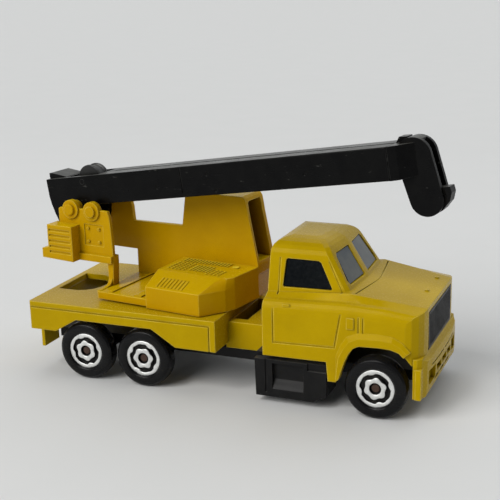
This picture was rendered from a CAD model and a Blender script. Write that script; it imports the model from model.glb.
"""Toy crane truck: worn yellow body and turret, black boom, base and wheels.

+X is the front, +Y the left side and +Z up; the wheels stand on a floor at Z = 0.
The pieces come from CAD. This script adds their materials, the silver rings on the
wheels, the floor, the lights and the camera.
"""
import math
import bpy
import bmesh
from mathutils import Vector, Matrix


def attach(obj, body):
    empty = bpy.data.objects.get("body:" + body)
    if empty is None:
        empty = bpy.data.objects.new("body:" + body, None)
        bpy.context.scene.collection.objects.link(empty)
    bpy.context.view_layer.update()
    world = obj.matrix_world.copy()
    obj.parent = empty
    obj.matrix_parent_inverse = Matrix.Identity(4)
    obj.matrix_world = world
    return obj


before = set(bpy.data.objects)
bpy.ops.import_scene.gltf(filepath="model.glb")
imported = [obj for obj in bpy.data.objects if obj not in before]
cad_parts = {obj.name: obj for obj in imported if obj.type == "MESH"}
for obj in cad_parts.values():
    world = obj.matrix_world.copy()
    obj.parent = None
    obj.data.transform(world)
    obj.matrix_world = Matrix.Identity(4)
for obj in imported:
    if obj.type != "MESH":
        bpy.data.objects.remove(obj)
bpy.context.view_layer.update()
MM = 0.001
scene = bpy.context.scene


# ------------------------------------------------------------------ shader helper
class Shader:
    """Short-hand for one procedural material. Bevel, AO and bump lengths are in mm."""

    def __init__(self, name):
        self.material = bpy.data.materials.new(name)
        self.material.use_nodes = True
        self.tree = self.material.node_tree
        self.tree.nodes.clear()
        output = self.node("OutputMaterial")
        self.bsdf = self.node("BsdfPrincipled")
        self.link(self.bsdf.outputs[0], output.inputs[0])
        self.coord = self.node("TexCoord").outputs["Object"]
        self.normal = None

    def node(self, kind):
        return self.tree.nodes.new("ShaderNode" + kind)

    def link(self, source, socket):
        self.tree.links.new(source, socket)

    def put(self, socket, value):
        """Link the value if it is a socket, otherwise store it."""
        if hasattr(value, "is_output"):
            self.link(value, socket)
        else:
            socket.default_value = value

    def set(self, **inputs):
        for key, value in inputs.items():
            self.put(self.bsdf.inputs[key.replace("_", " ")], value)

    def noise(self, scale, detail=3.0, rough=0.55, stretch=None):
        vector = self.coord
        if stretch:
            mapping = self.node("Mapping")
            mapping.inputs["Scale"].default_value = stretch
            self.link(vector, mapping.inputs[0])
            vector = mapping.outputs[0]
        noise = self.node("TexNoise")
        noise.inputs["Scale"].default_value = scale
        noise.inputs["Detail"].default_value = detail
        noise.inputs["Roughness"].default_value = rough
        self.link(vector, noise.inputs["Vector"])
        return noise.outputs[0]

    def ramp(self, mask, over, top=1.0):
        """Grey from 0 to top as the mask crosses the range."""
        ramp = self.node("ValToRGB")
        for element, place, grey in zip(ramp.color_ramp.elements, over, (0.0, top)):
            element.position = place
            element.color = (grey, grey, grey, 1)
        self.link(mask, ramp.inputs[0])
        return ramp.outputs[0]

    def mix(self, mask, first, second, mode="MIX"):
        mix = self.node("Mix")
        mix.data_type = "RGBA"
        mix.blend_type = mode
        self.put(mix.inputs[0], mask)
        for index, value in ((6, first), (7, second)):
            if isinstance(value, (int, float)):
                value = (value, value, value)
            if isinstance(value, tuple):
                value += (1,)
            self.put(mix.inputs[index], value)
        return mix.outputs[2]

    def math(self, operation, first, second, clamp=False):
        node = self.node("Math")
        node.operation = operation
        node.use_clamp = clamp
        self.put(node.inputs[0], first)
        self.put(node.inputs[1], second)
        return node.outputs[0]

    def product(self, first, *others):
        for other in others:
            first = self.math("MULTIPLY", first, other)
        return first

    def lin(self, value, over, to=(0.0, 1.0)):
        """Map the range `over` to the range `to`, clamped."""
        node = self.node("MapRange")
        self.link(value, node.inputs[0])
        for index, limit in enumerate((*over, *to), start=1):
            node.inputs[index].default_value = limit
        return node.outputs[0]

    def vary(self, mask, low, high, over=(0.3, 0.7)):
        """Go from low to high as the mask crosses the range."""
        return self.mix(self.lin(mask, over), low, high)

    def layer(self, base, mask, value, strength=None):
        """Lay a colour or grey value over the base where the mask is 1."""
        if strength is not None:
            mask = self.product(mask, strength)
        return self.mix(mask, base, value)

    def xyz(self, vector=None):
        node = self.node("SeparateXYZ")
        self.link(vector or self.coord, node.inputs[0])
        return node.outputs

    def bevel(self, radius, samples):
        node = self.node("Bevel")
        node.samples = samples
        node.inputs["Radius"].default_value = radius * MM
        return node.outputs[0]

    def edge(self, radius):
        """0 on flats, rising at edges as the rounded normal leans; also the true normal."""
        rounded = self.bevel(radius, samples=8)
        true = self.node("NewGeometry").outputs["Normal"]
        dot = self.node("VectorMath")
        dot.operation = "DOT_PRODUCT"
        self.link(rounded, dot.inputs[0])
        self.link(true, dot.inputs[1])
        return self.math("SUBTRACT", 1.0, dot.outputs["Value"], clamp=True), true

    def ao(self, distance, samples=6):
        node = self.node("AmbientOcclusion")
        node.samples = samples
        node.only_local = True
        node.inputs["Distance"].default_value = distance * MM
        return node.outputs["AO"]

    def use_normal(self, normal):
        self.normal = normal
        self.link(normal, self.bsdf.inputs["Normal"])

    def round_edges(self, radius):
        self.use_normal(self.bevel(radius, samples=6))

    def bump(self, height, strength, depth):
        """Add a bump on top of the normal built so far."""
        node = self.node("Bump")
        node.inputs["Strength"].default_value = strength
        node.inputs["Distance"].default_value = depth * MM
        self.link(height, node.inputs["Height"])
        if self.normal is not None:
            self.link(self.normal, node.inputs["Normal"])
        self.use_normal(node.outputs[0])


# ---------------------------------------------------------------------- materials
def yellow(name, low, high, dull, grime, bed):
    """Worn yellow enamel; bed=True is the truck body, False the turret."""
    n = Shader(name)
    broad = n.noise(scale=90, detail=4, rough=0.6)
    mid = n.noise(scale=420, detail=4, rough=0.6)
    fine = n.noise(scale=2600, detail=2, rough=0.6)
    base = n.mix(n.ramp(broad, over=(0.35, 0.65)), low, high)
    base = n.mix(n.ramp(mid, over=(0.42, 0.75), top=0.22), base, dull)
    # brownish grime in corners and grooves
    occ = n.ao(distance=1.1)
    dirt = n.product(n.lin(occ, over=(0.40, 0.92), to=(1, 0)),
                     n.lin(mid, over=(0.3, 0.7), to=(0.35, 1)))
    base = n.layer(base, dirt, value=(0.150, 0.125, 0.008), strength=grime)
    # soot in deep hollows
    deep = n.lin(n.ao(distance=12, samples=5), over=(0.12, 0.42), to=(0.92, 0))
    base = n.layer(base, deep, value=(0.045, 0.024, 0.003))
    # lighter paint on worn edges
    edge, normal = n.edge(radius=0.24)
    wear = n.product(n.lin(edge, over=(0.006, 0.09)), n.lin(mid, over=(0.25, 0.60)),
                     n.lin(occ, over=(0.75, 0.97)))
    base = n.layer(base, wear, value=(0.92, 0.72, 0.12), strength=0.68)
    # tiny chips down to bare metal
    spots = n.noise(scale=700, detail=5, rough=0.7)
    chip = n.product(n.lin(edge, over=(0.08, 0.25)), n.lin(spots, over=(0.655, 0.675)),
                     n.lin(occ, over=(0.8, 0.97)))
    base = n.layer(base, chip, value=(0.16, 0.13, 0.10))
    up = n.lin(n.xyz(normal)[2], over=(0.85, 1))
    if bed:
        # dust lying on the flat bed and roof
        dust = n.product(up, n.lin(broad, over=(0.35, 0.7), to=(0.15, 0.75)))
        base = n.layer(base, dust, value=(0.42, 0.33, 0.05), strength=0.14)
    else:
        # paler, greener top faces
        pale = n.product(up, n.lin(mid, over=(0.3, 0.7), to=(0.55, 0.9)))
        base = n.layer(base, pale, value=(0.640, 0.430, 0.002))
        # worn tops of the raised grid on the deck, picked out by height
        z = n.xyz()[2]
        grid = n.product(n.lin(z, over=(20.99 * MM, 21.04 * MM)),
                         n.lin(z, over=(21.30 * MM, 21.20 * MM)), up)
        base = n.layer(base, grid, value=(0.90, 0.74, 0.05), strength=0.75)
    rough = n.layer(n.vary(fine, low=0.20, high=0.30), dirt, value=0.7)
    n.set(Base_Color=base, Metallic=0.0, Roughness=rough, Specular_IOR_Level=0.09,
          Specular_Tint=(1.0, 0.78, 0.16, 1.0), Coat_Weight=0.04, Coat_Roughness=0.12)
    n.round_edges(radius=0.34)
    n.bump(n.noise(scale=260, detail=2), strength=0.25, depth=0.10)
    n.bump(fine, strength=0.04, depth=0.02)
    return n.material


def black(name, low, high, rough, scuff, specular=0.5, bevel=0.15, grain=0.10,
          lumps=0.3, flecks=0.0, dusty=0.5):
    """Black plastic between two colours; rough is the roughness range."""
    n = Shader(name)
    mid = n.noise(scale=380, detail=4, rough=0.6)
    fine = n.noise(scale=3000, rough=0.6)
    streaks = n.noise(scale=500, detail=4, rough=0.6, stretch=(0.18, 1.0, 1.4))
    base = n.vary(mid, low, high, over=(0.35, 0.65))
    # scuffed edges
    occ = n.ao(distance=1)
    edge, normal = n.edge(radius=0.22)
    wear = n.product(n.lin(edge, over=(0.02, 0.25)), n.lin(streaks, over=(0.42, 0.68)),
                     n.lin(occ, over=(0.7, 0.95)))
    base = n.layer(base, wear, value=(0.10, 0.10, 0.095), strength=scuff)
    # dust in corners, then on faces that look up
    dust = n.product(n.lin(occ, over=(0.45, 0.9), to=(1, 0)), n.lin(mid, over=(0.4, 0.7)))
    base = n.layer(base, dust, value=(0.05, 0.042, 0.03), strength=0.18)
    up = n.lin(n.xyz(normal)[2], over=(0.80, 1))
    settled = n.product(up, n.lin(mid, over=(0.3, 0.68), to=(0.35, 1)))
    base = n.layer(base, settled, value=(0.120, 0.120, 0.108), strength=dusty)
    if flecks:
        spots = n.noise(scale=900, detail=5, rough=0.7, stretch=(0.5, 1.0, 1.6))
        base = n.layer(base, n.lin(spots, over=(0.655, 0.70)), value=(0.11, 0.11, 0.10),
                       strength=flecks)
    n.set(Base_Color=base, Roughness=n.vary(streaks, *rough), Specular_IOR_Level=specular)
    n.round_edges(bevel) if bevel else None
    if lumps:
        n.bump(n.noise(scale=300), strength=lumps, depth=0.06)
    n.bump(fine, strength=grain, depth=0.03)
    return n.material


def glazing(name):
    """Smoked plastic: panes that lean back to the front are hazy, the others dark."""
    n = Shader(name)
    mid = n.noise(scale=160)
    fine = n.noise(scale=1500, rough=0.6)
    normal = n.xyz(n.node("NewGeometry").outputs["Normal"])
    lean = n.lin(normal[0], over=(0.35, 0.75))
    haze = n.vary(mid, low=(0.060, 0.075, 0.090), high=(0.115, 0.125, 0.120), over=(0.35, 0.65))
    dark = n.vary(mid, low=(0.0015, 0.0025, 0.0035), high=(0.0040, 0.0055, 0.0065))
    n.set(Base_Color=n.mix(lean, dark, haze), Roughness=n.vary(fine, low=0.14, high=0.26),
          Specular_IOR_Level=0.18, Coat_Weight=0.06, Coat_Roughness=0.08)
    n.bump(n.noise(scale=120, detail=2), strength=0.2, depth=0.15)
    n.bump(fine, strength=0.08, depth=0.02)
    return n.material


def metal(name, low, high, rough, rust=0.0, rough_high=None):
    """Bare metal between two colours; rough_high is only used without rust."""
    n = Shader(name)
    mid = n.noise(scale=900, detail=5, rough=0.65)
    fine = n.noise(scale=4000, rough=0.6)
    base = n.vary(mid, low, high, over=(0.35, 0.65))
    if rust:
        spots = n.noise(scale=1300, detail=5, rough=0.7)
        patches = n.lin(spots, over=(0.5 - 0.22 * rust, 0.62))
        base = n.layer(base, patches, value=(0.050, 0.020, 0.010))
        metallic = n.product(n.math("SUBTRACT", 1.0, patches), 1.0)
        rough = n.layer(rough, patches, value=0.75)
    else:
        metallic = 1.0
        rough = n.vary(mid, rough, rough_high)
    n.set(Base_Color=base, Metallic=metallic, Roughness=rough)
    n.round_edges(radius=0.08)
    n.bump(fine, strength=0.25, depth=0.04)
    n.bump(mid, strength=0.2, depth=0.05)
    return n.material


def foil(name):
    """Silver foil on plastic: slightly crinkled, worn through in specks."""
    n = Shader(name)
    mid = n.noise(scale=1500, detail=4, rough=0.65)
    fine = n.noise(scale=5200, rough=0.7)
    base = n.vary(mid, low=(0.70, 0.71, 0.70), high=(0.84, 0.85, 0.84), over=(0.35, 0.65))
    speck = n.lin(n.noise(scale=3600, detail=4, rough=0.75), over=(0.69, 0.72))
    base = n.layer(base, speck, value=(0.05, 0.05, 0.05))
    full, loss = 0.55, 0.5  # metallic value of the foil, and how much a speck takes off
    n.set(Base_Color=base, Metallic=n.math("SUBTRACT", full, n.product(speck, loss)),
          Roughness=n.vary(mid, low=0.30, high=0.46))
    n.bump(fine, strength=0.5, depth=0.03)
    n.bump(mid, strength=0.35, depth=0.05)
    return n.material


def floor_paper():
    n = Shader("floor_paper")
    tone = n.vary(n.noise(scale=60, rough=0.5), low=(0.985, 0.998, 0.995),
                  high=(1.0, 1.01, 1.008))
    # a little darker towards the back (+Y)
    shade = n.vary(n.xyz()[1], low=0.70, high=0.645, over=(-0.16, 0.25))
    n.set(Base_Color=n.mix(1.0, tone, shade, mode="MULTIPLY"), Roughness=0.8,
          Specular_IOR_Level=0.2)
    return n.material


BODY = yellow("worn_yellow_enamel", low=(0.440, 0.288, 0.0008), high=(0.485, 0.322, 0.0012),
              dull=(0.36, 0.235, 0.002), grime=0.30, bed=True)
TURRET = yellow("worn_yellow_enamel_turret", low=(0.490, 0.274, 0.0006),
                high=(0.540, 0.310, 0.0008), dull=(0.42, 0.236, 0.001), grime=0.12, bed=False)
BASE = black("black_moulded_base", low=(0.0040, 0.0040, 0.0043), high=(0.0080, 0.0080, 0.0080),
             rough=(0.36, 0.52), scuff=0.35, specular=0.18)
BOOM = black("black_boom_plastic", low=(0.0012, 0.0012, 0.0014), high=(0.0028, 0.0028, 0.0028),
             rough=(0.22, 0.38), scuff=0.55, specular=0.10, flecks=0.5, dusty=0.75)
WHEEL = black("black_wheel_plastic", low=(0.0026, 0.0026, 0.0030), high=(0.0050, 0.0050, 0.0054),
              rough=(0.20, 0.32), bevel=0.2, scuff=0.12, grain=0.06, specular=0.20, dusty=0.15)
GRILLE = black("black_grille", low=(0.0035, 0.0035, 0.0042), high=(0.0070, 0.0070, 0.0085),
               rough=(0.26, 0.38), bevel=0.0, scuff=0.12, grain=0.03, specular=0.07, lumps=0.0)
DRUM = black("dark_drum", low=(0.008, 0.008, 0.0075), high=(0.016, 0.016, 0.014),
             rough=(0.28, 0.42), scuff=0.7)
GLASS = glazing("smoked_window_plastic")
AXLE = metal("rusty_axle_wire", low=(0.060, 0.042, 0.034), high=(0.115, 0.080, 0.062),
             rough=0.45, rust=0.9)
STEEL = metal("dull_steel", low=(0.36, 0.34, 0.31), high=(0.50, 0.48, 0.44),
              rough=0.32, rust=0.25)
RIVET = metal("cast_rivet", low=(0.48, 0.46, 0.42), high=(0.60, 0.58, 0.53),
              rough=0.35, rough_high=0.5)
FOIL = foil("silver_foil")

# pieces not listed here are wheel plastic
PIECE_MATERIALS = {
    "truck_body": BODY, "turret_casting": TURRET, "boom_pivot_pin": TURRET,
    "chassis_base": BASE, "grille_insert": GRILLE, "cab_glazing": GLASS,
    "boom_outer": BOOM, "boom_inner": BOOM, "winch_pin": BOOM, "winch_drum": DRUM,
    "front_axle": AXLE, "middle_axle": AXLE, "rear_axle": AXLE,
    "turret_pivot_rivet": RIVET, "base_rivet_front": RIVET, "base_rivet_rear": RIVET,
    "turret_washer": STEEL,
}


def assign(obj, material):
    obj.data.materials.clear()
    obj.data.materials.append(material)


for name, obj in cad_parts.items():
    assign(obj, PIECE_MATERIALS.get(name, WHEEL))


def add_object(name, data):
    obj = bpy.data.objects.new(name, data)
    scene.collection.objects.link(obj)
    return obj


def add_mesh(name, bm, material):
    mesh = bpy.data.meshes.new(name)
    bm.to_mesh(mesh)
    bm.free()
    obj = add_object(name, mesh)
    assign(obj, material)
    return obj


# ------------------------------------------------- silver rings on the wheels, mm
AXLE_Z = 5.6
# axle: x, turn of the rim ring's teeth and of the hub ring's lobes in degrees
AXLES = {
    "front": (29.775, 15, 21),
    "middle": (-15.115, 62, 5),
    "rear": (-27.475, 17, 38),
}
LEFT_RIM_TURN, LEFT_HUB_TURN = 0.6, 0.3  # extra turn on the left side, radians
RIM_FACE_Y, HUB_FACE_Y = 13.74, 13.79
RING_STEPS = 144
FOIL_THICK = 0.035
# ring section: share of the way from inner to outer radius, height above the face
RING_PROFILE = [(0.0, -0.02), (0.06, FOIL_THICK), (0.5, FOIL_THICK * 1.25),
                (0.94, FOIL_THICK), (1.0, -0.02)]
TOOTH_START = 0.55  # cosine at which a rim tooth begins to rise


def ring(name, inner, outer, face_y, side, centre_x):
    """A thin closed ring on a wheel's face; inner and outer give radius by angle."""
    bm = bmesh.new()
    rows = []
    for k in range(RING_STEPS):
        angle = 2 * math.pi * k / RING_STEPS
        start, end = inner(angle), outer(angle)
        row = []
        for share, height in RING_PROFILE:
            radius = start + (end - start) * share
            x = centre_x + radius * math.cos(angle)
            y = (face_y + height) * side
            z = AXLE_Z + radius * math.sin(angle)
            row.append(bm.verts.new((x * MM, y * MM, z * MM)))
        rows.append(row)
    for k, row in enumerate(rows):
        following = rows[(k + 1) % RING_STEPS]
        for i in range(len(row) - 1):
            bm.faces.new((row[i], row[i + 1], following[i + 1], following[i]))
        bm.faces.new((row[-1], row[0], following[0], following[-1]))
    bmesh.ops.recalc_face_normals(bm, faces=bm.faces)
    obj = add_mesh(name, bm, FOIL)
    for polygon in obj.data.polygons:
        polygon.use_smooth = True
    return obj


def tooth(angle):
    """Four rounded teeth per turn, from 0 up to 1."""
    return max(0.0, (math.cos(4 * angle) - TOOTH_START) / (1 - TOOTH_START)) ** 0.8


def wheel_rings(axle, side, side_name):
    x, rim_degrees, hub_degrees = AXLES[axle]
    left = side > 0
    rim_turn = math.radians(rim_degrees) + (LEFT_RIM_TURN if left else 0.0)
    hub_turn = math.radians(hub_degrees) + (LEFT_HUB_TURN if left else 0.0)

    # mean radii, with teeth or lobes, and a slight waviness
    def rim_inner(a):
        return 2.78 - 0.30 * tooth(a - rim_turn) + 0.03 * math.sin(11 * a)

    def rim_outer(a):
        return 3.44 + 0.02 * math.sin(7 * a + 1)

    def hub_inner(a):
        return 1.06

    def hub_outer(a):
        return 1.93 + 0.15 * math.cos(6 * (a - hub_turn)) + 0.02 * math.sin(5 * a)

    rings = [
        ring(f"{axle}_rim_ring_{side_name}", rim_inner, rim_outer, RIM_FACE_Y, side, x),
        ring(f"{axle}_hub_ring_{side_name}", hub_inner, hub_outer, HUB_FACE_Y, side, x),
    ]
    for obj in rings:
        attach(obj, axle + "_wheelset")


for axle in AXLES:
    wheel_rings(axle, -1, "right")
    wheel_rings(axle, 1, "left")

# -------------------------------------------------------------- floor disc, metres
FLOOR_RADII = [0.15, 0.3, 0.6, 1.2, 2.5, 5.0, 9.0]
FLOOR_SIDES = 64


def floor():
    bm = bmesh.new()
    centre = bm.verts.new((0, 0, 0))
    angles = [2 * math.pi * k / FLOOR_SIDES for k in range(FLOOR_SIDES)]
    inner = None
    for r in FLOOR_RADII:
        outer = [bm.verts.new((r * math.cos(a), r * math.sin(a), 0)) for a in angles]
        for k in range(FLOOR_SIDES):
            j = (k + 1) % FLOOR_SIDES
            if inner is None:
                bm.faces.new((centre, outer[k], outer[j]))
            else:
                bm.faces.new((inner[k], outer[k], outer[j], inner[j]))
        inner = outer
    add_mesh("studio_floor", bm, floor_paper())


floor()


# -------------------------------------------------------------------------- light
def studio_world():
    """A bright backdrop behind the model (+Y), a dim room on the camera's side."""
    world = bpy.data.worlds.new("studio")
    world.use_nodes = True
    tree = world.node_tree
    background = tree.nodes["Background"]
    coord = tree.nodes.new("ShaderNodeTexCoord")
    split = tree.nodes.new("ShaderNodeSeparateXYZ")
    tree.links.new(coord.outputs["Generated"], split.inputs[0])
    fade = tree.nodes.new("ShaderNodeMapRange")
    fade.interpolation_type = "SMOOTHSTEP"
    tree.links.new(split.outputs[1], fade.inputs[0])
    settings = {"From Min": -0.55, "From Max": 0.6, "To Min": 0.13, "To Max": 0.68}
    for key, value in settings.items():
        fade.inputs[key].default_value = value
    background.inputs[0].default_value = (0.965, 0.985, 1.0, 1)
    tree.links.new(fade.outputs[0], background.inputs[1])
    scene.world = world


def sun(name, source, strength, degrees, colour=(1, 1, 1)):
    """A sun shining from the source direction; degrees is its apparent width."""
    light = bpy.data.lights.new(name, "SUN")
    light.energy = strength
    light.angle = math.radians(degrees)
    light.color = colour
    obj = add_object(name, light)
    obj.rotation_euler = (-Vector(source)).to_track_quat("-Z", "Y").to_euler()


studio_world()
sun("key", source=(-0.42, -0.80, 0.66), strength=2.15, degrees=44, colour=(1.0, 0.985, 0.96))
sun("top", source=(0.15, 0.35, 0.95), strength=0.48, degrees=60)
sun("glint", source=(-0.25, -0.50, 0.83), strength=0.30, degrees=9)

# ------------------------------------------------------------------------- camera
CAMERA_PLACE = (76.698, -180.771, 78.733)  # mm
YAW, PITCH, ROLL = (math.radians(d) for d in (-22.622, -15.506, -1.406))


def camera():
    data = bpy.data.cameras.new("camera")
    data.sensor_width = 36.0
    data.lens = 77.6304
    data.clip_start = 0.005
    data.clip_end = 20.0
    obj = add_object("camera", data)
    forward = Vector((math.sin(YAW) * math.cos(PITCH), math.cos(YAW) * math.cos(PITCH),
                      math.sin(PITCH)))
    level_right = forward.cross(Vector((0, 0, 1))).normalized()
    level_up = level_right.cross(forward)
    right = math.cos(ROLL) * level_right + math.sin(ROLL) * level_up
    up = -math.sin(ROLL) * level_right + math.cos(ROLL) * level_up
    turn = Matrix((right, up, -forward)).transposed()
    obj.matrix_world = Matrix.Translation(Vector(CAMERA_PLACE) * MM) @ turn.to_4x4()
    scene.camera = obj


camera()
scene.view_settings.view_transform = "Standard"
scene.view_settings.look = "None"
